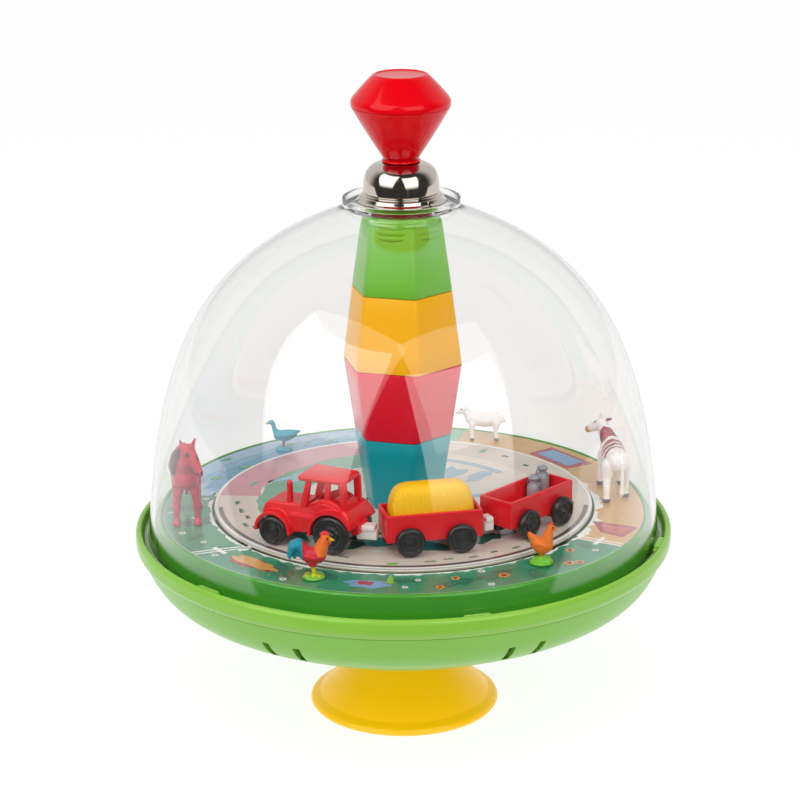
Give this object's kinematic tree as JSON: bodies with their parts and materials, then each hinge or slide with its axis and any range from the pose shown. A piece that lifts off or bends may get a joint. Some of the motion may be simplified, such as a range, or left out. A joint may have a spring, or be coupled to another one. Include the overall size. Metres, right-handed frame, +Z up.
{
  "type": "spinning top",
  "caption": "Pump spinning top on a suction foot: push knob with twisted spindle, clear dome, stacked hexagonal column and a loose turntable with a toy tractor train.",
  "frame": {"origin": "bottom centre of the suction cup's lip, on the spin axis", "axes": "+Z up along the spin axis to the knob; -Y is the front, towards the viewer; +X to the right"},
  "size_m": [0.19, 0.19, 0.2295],
  "materials": {
    "yellow_vinyl": "satin soft vinyl",
    "steel": "plain",
    "white_nylon": "satin",
    "green_plastic": "gloss",
    "clear_plastic": "clear moulded plastic",
    "nickel_plate": "bright nickel plate",
    "printed_card": "printed and varnished",
    "teal_plastic": "gloss",
    "red_plastic": "gloss",
    "yellow_plastic": "gloss",
    "leaf_plastic": "gloss",
    "drive_red": "satin",
    "road_plastic": "printed gloss disc",
    "black_plastic": "satin",
    "hay_yellow": "ribbed",
    "churn_grey": "satin",
    "horse_paint": "painted",
    "cow_paint": "painted",
    "sheep_paint": "painted",
    "duck_paint": "painted",
    "rooster_paint": "painted",
    "hen_paint": "painted"
  },
  "bodies": {
    "foot": {"suction_cup": "yellow_vinyl", "pivot_pin": "steel", "thrust_washer": "white_nylon", "retaining_clip": "steel"},
    "shell": {"bowl": "green_plastic", "rim_ring": "green_plastic", "dome": "clear_plastic", "metal_cap": "nickel_plate", "landscape_tray": "green_plastic", "landscape_card": "printed_card", "column_teal": "teal_plastic", "column_red": "red_plastic", "column_yellow": "yellow_plastic", "column_green": "leaf_plastic", "hub_bush": "white_nylon", "ratchet_ring": "white_nylon", "horse": "horse_paint", "cow": "cow_paint", "sheep": "sheep_paint", "duck": "duck_paint", "rooster": "rooster_paint", "hen": "hen_paint"},
    "pump": {"knob_upper": "red_plastic", "knob_lower": "red_plastic", "spindle": "steel", "stop_button": "black_plastic"},
    "drive": {"drive_nut": "drive_red"},
    "carousel": {"turntable": "road_plastic", "turntable_bush": "white_nylon", "tractor_chassis": "black_plastic", "tractor_body": "red_plastic", "tractor_cab": "red_plastic", "tractor_exhaust": "red_plastic", "wagon_1": "red_plastic", "wagon_2": "red_plastic", "hay_load": "hay_yellow", "milk_churn_1": "churn_grey", "milk_churn_2": "churn_grey", "coupling_1": "white_nylon", "coupling_2": "white_nylon"},
    "tractor_rear_axle_set": {"tractor_rear_axle": "steel", "tractor_rear_wheel_left": "black_plastic", "tractor_rear_wheel_right": "black_plastic"},
    "tractor_front_axle_set": {"tractor_front_axle": "steel", "tractor_front_wheel_left": "black_plastic", "tractor_front_wheel_right": "black_plastic"},
    "wagon_1_front_axle_set": {"wagon_1_front_axle": "steel", "wagon_1_front_wheel_left": "black_plastic", "wagon_1_front_wheel_right": "black_plastic"},
    "wagon_1_rear_axle_set": {"wagon_1_rear_axle": "steel", "wagon_1_rear_wheel_left": "black_plastic", "wagon_1_rear_wheel_right": "black_plastic"},
    "wagon_2_front_axle_set": {"wagon_2_front_axle": "steel", "wagon_2_front_wheel_left": "black_plastic", "wagon_2_front_wheel_right": "black_plastic"},
    "wagon_2_rear_axle_set": {"wagon_2_rear_axle": "steel", "wagon_2_rear_wheel_left": "black_plastic", "wagon_2_rear_wheel_right": "black_plastic"}
  },
  "joints": [
    {"name": "shell_spin", "type": "hinge", "parent": "foot", "child": "shell", "pos_m": [0, 0, 0.045], "axis": [0, 0, 1], "continuous": true},
    {"name": "pump_slide", "type": "slide", "parent": "foot", "child": "pump", "axis": [0, 0, 1], "range_m": [0, 0.1]},
    {"name": "nut_spin", "type": "hinge", "parent": "foot", "child": "drive", "pos_m": [0, 0, 0.188], "axis": [0, 0, 1], "range_deg": [-600.5, 0.5]},
    {"name": "carousel_spin", "type": "hinge", "parent": "shell", "child": "carousel", "pos_m": [0, 0, 0.0752], "axis": [0, 0, 1], "continuous": true},
    {"name": "tractor_rear_roll", "type": "hinge", "parent": "carousel", "child": "tractor_rear_axle_set", "pos_m": [-0.0205, -0.0457, 0.0837], "axis": [-0.4274, -0.9041, 0], "continuous": true},
    {"name": "tractor_front_roll", "type": "hinge", "parent": "carousel", "child": "tractor_front_axle_set", "pos_m": [-0.04039, -0.0363, 0.0821], "axis": [-0.4274, -0.9041, 0], "continuous": true},
    {"name": "wagon_1_front_roll", "type": "hinge", "parent": "carousel", "child": "wagon_1_front_axle_set", "pos_m": [0.00051, -0.0479, 0.0821], "axis": [-0.2164, 0.9763, 0], "continuous": true},
    {"name": "wagon_1_rear_roll", "type": "hinge", "parent": "carousel", "child": "wagon_1_rear_axle_set", "pos_m": [0.01769, -0.0441, 0.0821], "axis": [-0.2164, 0.9763, 0], "continuous": true},
    {"name": "wagon_2_front_roll", "type": "hinge", "parent": "carousel", "child": "wagon_2_front_axle_set", "pos_m": [0.03632, -0.03386, 0.0821], "axis": [-0.7337, 0.6794, 0], "continuous": true},
    {"name": "wagon_2_rear_roll", "type": "hinge", "parent": "carousel", "child": "wagon_2_rear_axle_set", "pos_m": [0.04828, -0.02094, 0.0821], "axis": [-0.7337, 0.6794, 0], "continuous": true}
  ],
  "couplings": [
    {"joint": "nut_spin", "follows": "pump_slide", "rad_per_m": -104.72}
  ]
}
